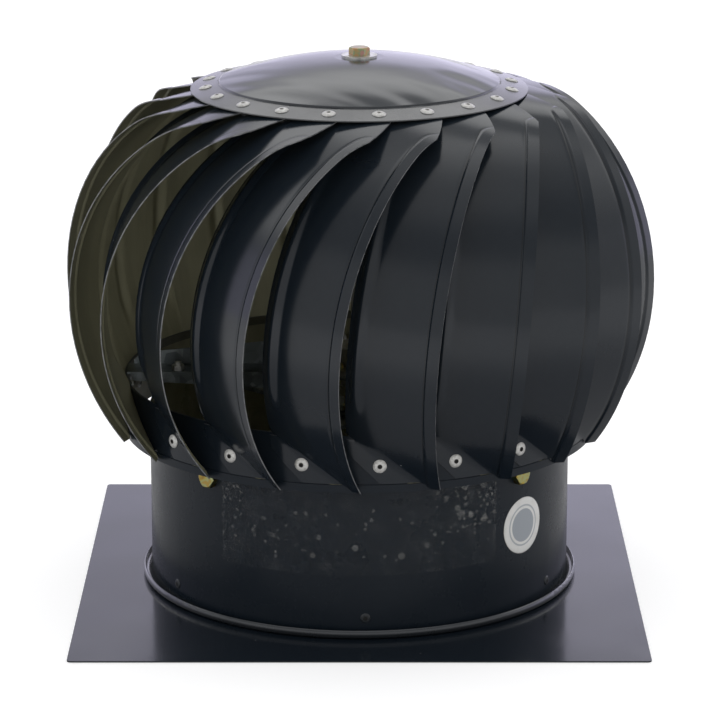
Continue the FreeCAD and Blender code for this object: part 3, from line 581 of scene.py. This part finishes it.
class BladeShape:
    def __init__(self, form):
        self.form = form
        lean = math.radians(form["lean"])
        droop = math.radians(form["droop"])
        level = math.cos(droop)
        self.axis = Vector((math.sin(lean) * level, math.cos(lean) * level, -math.sin(droop)))
        self.outward = Vector((math.cos(lean), -math.sin(lean), 0.0))
        self.upward = self.outward.cross(self.axis)
        self.middle = Vector(form["rim"]) - self.outward * (form["bendRadius"] + form["flare"])

    def heightRow(self, height):
        return math.asin((height - self.middle.z) / (self.upward.z * self.form["bendRadius"]))

    def onBend(self, row, along, lift=0.0):  # a row is level below the rim and follows the bend above it
        tilt = -self.axis.z * along / (self.upward.z * self.form["bendRadius"])
        if row < 0.0:
            angle = math.asin(math.sin(row) + tilt)
        else:
            angle = row + math.asin(tilt) * (1.0 - row / (math.pi / 2))
        arm = self.outward * math.cos(angle) + self.upward * math.sin(angle)
        return self.middle + self.axis * along + arm * (self.form["bendRadius"] + lift)

    def lastHolding(self, first, last, holds):  # halves the way to where holds stops being true
        for _ in range(self.form["halvings"]):
            half = (first + last) / 2
            if holds(half):
                first = half
            else:
                last = half
        return first

    def crossing(self, row, keep):  # walks in from the outer edge to where keep changes
        def kept(along):
            return keep(self.onBend(row, along)) > 0.0

        start = kept(0.0)
        if kept(-self.form["width"]) == start:
            return None
        return self.lastHolding(0.0, -self.form["width"], lambda along: kept(along) == start)

    def innerLimit(self, row):
        form = self.form
        height = self.onBend(row, 0.0).z
        found = None
        if height < form["tabFoot"]:
            found = self.crossing(row, lambda point: point.xy.length - form["hemRadius"])
        elif height <= form["tabTop"]:
            back = math.radians(form["rivetTurn"]) + math.asin((form["tabLine"] - height) / form["tabRadius"])
            found = self.crossing(row, lambda point: math.atan2(point.y, point.x) - back)
        elif row < 0.0:
            found = self.crossing(row, lambda point: point.xy.length - form["tabRadius"])
        return -form["width"] if found is None else found

    def outerLimit(self, row):  # the cut corner under the cap
        form = self.form
        if row < math.radians(form["cornerAngle"]):
            return 0.0

        def keep(point):
            turn = math.atan2(point.y, point.x) - math.radians(form["capFold"])
            return betweenStops(form["cornerTrim"], point.xy.length) / form["flangeRadius"] - turn

        found = self.crossing(row, keep)
        return 0.0 if found is None else found

    def lipWidth(self, row):  # full width, then a round toe at the top
        below = (math.radians(self.form["toeAngle"]) - row) * self.form["bendRadius"]
        reach = min(max(below / self.form["toe"], 0.0), 1.0)
        return self.form["lip"] * math.sqrt(1.0 - (1.0 - reach) ** 2)

    def lift(self, along, lip, ridge):  # raised lip and rounded ridge above the bend
        form = self.form
        fromEdge = -along
        raised = smooth((lip - fromEdge) / form["lipSlope"]) * form["lipStep"]
        if fromEdge < lip:
            raised += (lip - fromEdge) / form["lip"] * (form["flare"] - form["lipStep"])
        fromGroove = (fromEdge - lip - form["grooveWidth"]) / form["grooveWidth"]
        raised -= form["groove"] * math.exp(-fromGroove ** 2) * lip / form["lip"]
        fromRidge = abs(fromEdge - form["ridgePlace"]) / form["ridgeHalf"]
        if fromRidge < 1.0:
            raised += form["ridgeHeight"] * ridge * (1.0 + math.cos(math.pi * fromRidge)) / 2
        return raised - form["edgeTuck"] * smooth((fromEdge - form["tuckStart"]) / form["tuckWidth"])

    def column(self, distance, lip):  # columns crowd in where the lip narrows
        edge = self.form["crowdEdge"]
        squeeze = max(lip / self.form["lip"], self.form["leastCrowd"])
        if distance <= edge:
            return distance * squeeze
        rest = (self.form["width"] - edge * squeeze) / (self.form["width"] - edge)
        return edge * squeeze + (distance - edge) * rest

    def endRow(self, along):  # where a column stops under the cap's flange
        end = betweenStops(self.form["topEnd"], along)
        return self.lastHolding(*self.form["topRows"], lambda row: self.onBend(row, along).xy.length > end)

    def point(self, row, distance):
        form = self.form
        lip = self.lipWidth(row)
        along = -self.column(distance, lip)
        along = min(max(along, self.innerLimit(row)), self.outerLimit(row))
        row = min(row, self.endRow(along))
        height = self.onBend(row, along).z
        ridge = smooth((height - form["ridgeFade"][0]) / (form["ridgeFade"][1] - form["ridgeFade"][0]))
        made = self.onBend(row, along, self.lift(along, lip, ridge))
        if height < form["tabTop"]:
            bent = smooth((form["tabTop"] - height) / form["footFade"])
            fold = form["footBlend"] * bent + form["leastFold"]
            out = softMaximum(made.xy.length, form["tabRadius"], fold) / made.xy.length
            made = Vector((made.x * out, made.y * out, made.z))
        cone = form["coneHeight"] + (form["flangeRadius"] - made.xy.length) * form["coneTilt"]
        made.z = -softMaximum(-made.z, -cone, form["topBlend"])
        return made, along, row


def smooth(value):
    value = min(max(value, 0.0), 1.0)
    return value * value * (3.0 - 2.0 * value)


def softMaximum(first, second, width):
    near = max(0.0, 1.0 - abs(first - second) / width)
    return max(first, second) + near * near * width / 4


def betweenStops(stops, value):
    stops = sorted(stops)
    if value <= stops[0][0]:
        return stops[0][1]
    for (low, lowValue), (high, highValue) in zip(stops, stops[1:]):
        if value <= high:
            return lowValue + (highValue - lowValue) * (value - low) / (high - low)
    return stops[-1][1]


def bendGrid():  # a flat grid laid on the blade's shape, with its UV map unrolled
    shape = BladeShape(bladeForm)
    rows = [shape.heightRow(height / millimetres) for height in bladeHeights]
    rows += [math.radians(angle) for angle in bladeAngles]
    across = len(bladeColumns) - 1
    upto = len(rows) - 1
    bpy.ops.mesh.primitive_grid_add(x_subdivisions=across, y_subdivisions=upto, size=2.0, calc_uvs=True)
    blade = bpy.context.object
    mesh = blade.data
    unrolled = {}
    for vertex in mesh.vertices:
        distance = bladeColumns[round((vertex.co.x + 1.0) / 2.0 * across)] / millimetres
        row = rows[round((vertex.co.y + 1.0) / 2.0 * upto)]
        vertex.co, along, row = shape.point(row, distance)
        upStrip = (row + bladeMap["arcStart"]) / bladeMap["arcSpan"]
        unrolled[vertex.index] = (-along / bladeForm["width"], upStrip)
    for loop in mesh.loops:
        mesh.uv_layers.active.data[loop.index].uv = unrolled[loop.vertex_index]
    return blade


def buildBlade():
    blade = bendGrid()
    mesh = blade.data
    bpy.ops.object.mode_set(mode="EDIT")
    bpy.ops.mesh.select_all(action="SELECT")
    bpy.ops.mesh.remove_doubles(threshold=bladeForm["weld"])
    bpy.ops.mesh.dissolve_degenerate(threshold=bladeForm["weld"])
    bpy.ops.object.mode_set(mode="OBJECT")
    widest = max(mesh.polygons, key=lambda face: face.area)
    if widest.normal.dot(Vector((widest.center.x, widest.center.y, 0.0))) < 0.0:
        bpy.ops.object.mode_set(mode="EDIT")
        bpy.ops.mesh.flip_normals()
        bpy.ops.object.mode_set(mode="OBJECT")
    for finish in (bladePaintFinish(), bladeKhakiFinish(), bladeEdgeFinish()):
        mesh.materials.append(finish)
    wall = blade.modifiers.new("sheet", "SOLIDIFY")
    wall.thickness = bladeForm["sheet"]
    wall.offset = -1.0
    wall.use_even_offset = False
    wall.material_offset = 1
    wall.material_offset_rim = 2
    bpy.ops.object.modifier_apply(modifier=wall.name)
    bpy.ops.object.shade_smooth_by_angle(angle=math.radians(bladeForm["smoothAngle"]))
    return blade


def placeBlades(blade):
    for index in range(bladeForm["count"]):
        copy = blade.copy()
        copy.data = blade.data.copy()
        copy.name = "bladeSheet%02d" % (index + 1)
        turn = math.radians(bladeForm["startTurn"] + index * 360.0 / bladeForm["count"])
        copy.data.transform(Matrix.Rotation(turn, 4, "Z"))
        bpy.context.collection.objects.link(copy)
        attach(copy, "rotor")
        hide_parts("blade_%02d" % (index + 1))
    bpy.data.objects.remove(blade)


placeBlades(buildBlade())
print("blades:", bladeForm["count"])


# clear film and a plain round sticker on the throat
throatRadius = 0.1524
filmForm = {"low": 0.0465, "high": 0.1100, "halfTurn": 38.3, "lift": 0.00012, "thick": 0.00012,
            "corner": 0.003, "cornerSteps": 4, "facets": 288, "smoothAngle": 30.0, "endSlack": 0.001}
filmLook = {
    "specular": 0.5, "ior": 1.45, "roughness": 0.30, "clear": 0.004, "mostAlpha": 0.45,
    "rightTurn": (0.24, 0.50), "rightHeight": (0.060, 0.085),
    "leftTurn": (-0.30, -0.60), "leftHeight": (0.060, 0.100), "leftShare": 0.62,
    "middleLow": (0.045, 0.060), "middleHigh": (0.110, 0.085), "middleShare": 0.28,
    "bubbleScales": (150.0, 300.0), "bubbleSide": (0.46, 0.36), "bubbleChosen": (1.05, 1.12),
    "crowding": 0.62, "bubbleAlpha": 0.075, "bubbleDepth": 0.0004, "bubbleStrength": 0.4,
    "cloudScale": 70.0, "cloudLevels": (0.48, 0.70), "cloudAlpha": 0.010, "cloudDull": 0.1,
    "tint": rgb(0.50, 0.50, 0.47), "cloudTint": rgb(0.62, 0.62, 0.60),
    "endRim": (0.008, 0.001), "lowRim": (0.0014, 0.0002), "ragScale": 300.0, "ragLevels": (0.42, 0.60),
    "ragAlpha": 0.014, "waveScale": 120.0, "waveShare": 0.4,
}


def filmBubbles(flat, crowd):  # trapped air, in cells picked more often where it crowds
    bubbles = 0.0
    for scale in filmLook["bubbleScales"]:
        pick = channel(cells(flat, scale, "Color"), "Green") + crowd * filmLook["crowding"]
        spot = rise(cells(flat, scale), *filmLook["bubbleSide"])
        bubbles = bubbles + spot * rise(pick, *filmLook["bubbleChosen"])
    return bubbles


def filmRim(turn, z):  # the film's ends and lower edge
    half = math.radians(filmForm["halfTurn"])
    ends = rise(turn.maths("ABSOLUTE", turn), *(half - inset for inset in filmLook["endRim"]))
    return z.maths("MAXIMUM", ends, rise(z, *(filmForm["low"] + inset for inset in filmLook["lowRim"])))


def filmFinish():
    look = filmLook
    constants = {"Specular IOR Level": look["specular"], "IOR": look["ior"]}
    material, shader, place = newFinish("clearFilm", constants)
    z = coordinate(place, "Z")
    turn = place.maths("ARCTAN2", coordinate(place, "X"), 0.0 - coordinate(place, "Y"))
    flat = join(turn * throatRadius, z, z * 0.0)  # unrolled, metres
    right = rise(turn, *look["rightTurn"]) * rise(z, *look["rightHeight"])
    left = rise(turn, *look["leftTurn"]) * rise(z, *look["leftHeight"]) * look["leftShare"]
    middle = rise(z, *look["middleLow"]) * rise(z, *look["middleHigh"]) * look["middleShare"]
    bubbles = filmBubbles(flat, z.maths("MAXIMUM", z.maths("MAXIMUM", right, left), middle))
    clouded = rise(noise(flat, look["cloudScale"], 4.0), *look["cloudLevels"])
    ragged = filmRim(turn, z) * rise(noise(flat, look["ragScale"]), *look["ragLevels"])
    alpha = bubbles * look["bubbleAlpha"] + clouded * look["cloudAlpha"]
    alpha = alpha + ragged * look["ragAlpha"] + look["clear"]
    feed(shader, "Base Color", blend(clouded, look["tint"], look["cloudTint"]))
    feed(shader, "Alpha", alpha.maths("MINIMUM", alpha, look["mostAlpha"]))
    feed(shader, "Roughness", clouded * look["cloudDull"] + look["roughness"])
    waves = noise(flat, look["waveScale"], 2.0) * look["waveShare"]
    feedBump(shader, bubbles + waves, look["bubbleDepth"], look["bubbleStrength"])
    return material


def thicken(piece, name, thickness):  # outward
    wall = piece.modifiers.new(name, "SOLIDIFY")
    wall.thickness = thickness
    wall.offset = 1.0
    bpy.ops.object.modifier_apply(modifier=wall.name)


def buildFilm():
    depth = filmForm["high"] - filmForm["low"]
    bpy.ops.mesh.primitive_cylinder_add(
        vertices=filmForm["facets"], radius=throatRadius + filmForm["lift"], depth=depth,
        end_fill_type="NOTHING", location=(0.0, 0.0, filmForm["low"] + depth / 2))
    film = bpy.context.object
    film.name = "throatFilm"
    bpy.ops.object.transform_apply(location=True, rotation=True, scale=True)
    bpy.ops.object.mode_set(mode="EDIT")
    bpy.ops.mesh.select_all(action="DESELECT")
    bpy.ops.object.mode_set(mode="OBJECT")
    for face in film.data.polygons:
        turn = math.degrees(math.atan2(face.center.x, -face.center.y))
        face.select = abs(turn) > filmForm["halfTurn"]
    bpy.ops.object.mode_set(mode="EDIT")
    bpy.ops.mesh.delete(type="FACE")
    bpy.ops.mesh.select_all(action="DESELECT")
    bpy.ops.object.mode_set(mode="OBJECT")
    edge = max(abs(math.atan2(vertex.co.x, -vertex.co.y)) for vertex in film.data.vertices)
    for vertex in film.data.vertices:
        vertex.select = abs(math.atan2(vertex.co.x, -vertex.co.y)) > edge - filmForm["endSlack"]
    bpy.ops.object.mode_set(mode="EDIT")
    bpy.ops.mesh.bevel(offset=filmForm["corner"], segments=filmForm["cornerSteps"], affect="VERTICES")
    bpy.ops.object.mode_set(mode="OBJECT")
    film.data.materials.append(filmFinish())
    thicken(film, "film", filmForm["thick"])
    bpy.ops.object.shade_smooth_by_angle(angle=math.radians(filmForm["smoothAngle"]))
    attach(film, "base")


stickerForm = {"turn": 49.3, "height": 0.0657, "radius": 0.0205, "lift": 0.00012, "thick": 0.00018,
               "rings": 5, "middleRings": 1.5, "facets": 72, "softEdge": 0.00006, "softSteps": 2,
               "smoothAngle": 30.0}
stickerLook = {"specular": 0.45, "roughness": 0.30, "bandInside": (0.0138, 0.0141),
               "bandOutside": (0.0153, 0.0150), "bandShare": 0.8, "disc": (0.0122, 0.0119),
               "grey": rgb(0.36, 0.39, 0.42), "pale": rgb(0.80, 0.80, 0.77), "grimy": rgb(0.66, 0.65, 0.60),
               "grimeAndShadeScale": 130.0, "grimeAndShadeLevels": (0.45, 0.75), "grimeShare": 0.5, "grimeDull": 0.12,
               "dust": rgb(0.40, 0.39, 0.36), "dustRim": 0.0012, "dustShare": 0.4,
               "skinScale": 260.0, "skinDepth": 0.0002, "skinStrength": 0.25}


def stickerMiddle():
    turn = math.radians(stickerForm["turn"])
    return (throatRadius * math.sin(turn), -throatRadius * math.cos(turn), stickerForm["height"])


def stickerFinish():
    look = stickerLook
    material, shader, place = newFinish("stickerVinyl", {"Specular IOR Level": look["specular"]})
    away = place.node("VectorMath", {"operation": "DISTANCE"}, {0: place, 1: stickerMiddle()}, "Value")
    band = rise(away, *look["bandInside"]) * rise(away, *look["bandOutside"])
    # on the sticker these patches are grime only, with no painted shade
    grimeAndShade = rise(noise(place, look["grimeAndShadeScale"], 4.0), *look["grimeAndShadeLevels"])
    colour = blend(grimeAndShade * look["grimeShare"], look["pale"], look["grimy"])
    colour = blend(rise(away, *look["disc"]), colour, look["grey"])
    colour = blend(band * look["bandShare"], colour, look["grey"])
    dusty = rise(away, stickerForm["radius"] - look["dustRim"], stickerForm["radius"]) * look["dustShare"]
    feed(shader, "Base Color", blend(dusty, colour, look["dust"]))
    feed(shader, "Roughness", grimeAndShade * look["grimeDull"] + look["roughness"])
    feedBump(shader, noise(place, look["skinScale"], 2.0), look["skinDepth"], look["skinStrength"])
    return material


def buildSticker():
    facing = (math.radians(90.0), 0.0, math.radians(stickerForm["turn"]))
    bpy.ops.mesh.primitive_circle_add(vertices=stickerForm["facets"], radius=stickerForm["radius"],
                                      fill_type="NGON", location=stickerMiddle(), rotation=facing)
    sticker = bpy.context.object
    sticker.name = "roundSticker"
    bpy.ops.object.transform_apply(location=True, rotation=True, scale=True)
    bpy.ops.object.mode_set(mode="EDIT")
    bpy.ops.mesh.select_all(action="SELECT")
    ringWidth = stickerForm["radius"] / (stickerForm["rings"] + stickerForm["middleRings"])
    for _ in range(stickerForm["rings"]):
        bpy.ops.mesh.inset(thickness=ringWidth)
    bpy.ops.object.mode_set(mode="OBJECT")
    for vertex in sticker.data.vertices:  # laid on the throat
        reach = (throatRadius + stickerForm["lift"]) / vertex.co.xy.length
        vertex.co.x *= reach
        vertex.co.y *= reach
    sticker.data.materials.append(stickerFinish())
    thicken(sticker, "vinyl", stickerForm["thick"])
    soft = sticker.modifiers.new("softEdge", "BEVEL")
    soft.width = stickerForm["softEdge"]
    soft.segments = stickerForm["softSteps"]
    soft.limit_method = "ANGLE"
    bpy.ops.object.modifier_apply(modifier=soft.name)
    bpy.ops.object.shade_smooth_by_angle(angle=math.radians(stickerForm["smoothAngle"]))
    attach(sticker, "base")


buildFilm()
buildSticker()
print("film and sticker on the throat")


# studio: pale floor and white surround, whose level changes with height and from front to back; in
# reflections the floor's glow fades near the object, a painted shade round it
studio = {
    "floorSize": 14.0, "floorDrop": 0.0004, "floorColour": rgb(0.66, 0.66, 0.66), "floorGlow": 0.52,
    "floorRoughness": 0.9, "nearFloorShade": (0.40, 0.95), "backEdge": (-0.2, 0.35), "sideEdge": (-0.12, 0.12),
    "low": 0.86, "high": 0.50, "highEdge": (0.45, 0.62), "back": 1.06, "right": 0.36,
    "rightEdge": (0.352, 0.325), "dip": 0.34, "dipEdge": (0.285, 0.375), "band": 1.00,
    "bandEdge": (0.385, 0.53),
    "gapEdge": (0.655, 0.735), "gapEnd": (0.86, 0.95), "gapDepth": 1.20, "top": 0.50, "topEdge": (0.72, 0.95),
    "lilac": rgb(1.0, 0.97, 1.22), "lilacEdge": (0.30, 0.45),
}


def buildFloor():
    bpy.ops.mesh.primitive_plane_add(size=studio["floorSize"], location=(0.0, 0.0, -studio["floorDrop"]))
    floor = bpy.context.object
    floor.name = "floor"
    constants = {"Roughness": studio["floorRoughness"], "Specular IOR Level": 0.0,
                 "Base Color": studio["floorColour"], "Emission Strength": studio["floorGlow"]}
    material, shader, place = newFinish("floorWhite", constants)
    seen = place.node("LightPath", {}, {}, "Is Camera Ray")
    # glossy and transmission rays see the floor's glow only away from the object; nearer to it the reflected
    # floor is darker, painted shade
    far = rise(length(place), *studio["nearFloorShade"])
    for other in ("Is Glossy Ray", "Is Transmission Ray"):
        seen = seen.maths("MAXIMUM", seen, far * place.node("LightPath", {}, {}, other))
    feed(shader, "Emission Color", blend(seen, black, white))
    floor.data.materials.append(material)


def buildWorld():
    world = bpy.data.worlds.new("studioWorld")
    world.use_nodes = True
    direction = Wire(world.node_tree, None).node("TexCoord", {}, {}, "Generated")
    toBack = rise(dot(direction, (0.0, 1.0, 0.0)), *studio["backEdge"])
    toRight = rise(dot(direction, (1.0, 0.0, 0.0)), *studio["sideEdge"])
    up = dot(direction, (0.0, 0.0, 1.0))
    front = studio["low"] - rise(up, *studio["highEdge"]) * (studio["low"] - studio["high"])
    gap = rise(up, *studio["gapEdge"]) * (1.0 - rise(up, *studio["gapEnd"])) * studio["gapDepth"]
    high = rise(up, *studio["bandEdge"])
    dip = rise(up, *studio["dipEdge"]) * studio["dip"]
    right = toRight * rise(up, *studio["rightEdge"]) * studio["right"]
    back = studio["back"] + right - dip + high * studio["band"] - gap
    level = front + toBack * (back - front) + rise(up, *studio["topEdge"]) * studio["top"]
    tint = blend(toBack * (1.0 - rise(up, *studio["lilacEdge"])), white, studio["lilac"])
    room = timesVector(tint, join(level, level, level))
    seen = direction.node("LightPath", {}, {}, "Is Camera Ray")
    seen = seen.maths("MAXIMUM", seen, direction.node("LightPath", {}, {}, "Is Transmission Ray"))
    feed(world.node_tree.nodes["Background"], "Color", blend(seen, room, white))
    bpy.context.scene.world = world


camera = {"lens": 171.9, "sensor": 36.0, "reach": 50.0, "pitch": 74.5, "place": (0.0005, -2.4066, 0.8263)}


def buildCamera():
    bpy.ops.object.camera_add(location=camera["place"], rotation=(math.radians(camera["pitch"]), 0.0, 0.0))
    made = bpy.context.object
    made.name = "photoCamera"
    made.data.lens = camera["lens"]
    made.data.sensor_width = camera["sensor"]
    made.data.clip_end = camera["reach"]
    bpy.context.scene.camera = made


buildFloor()
buildWorld()
buildCamera()
bpy.context.scene.view_settings.view_transform = "Standard"
print("studio ready")
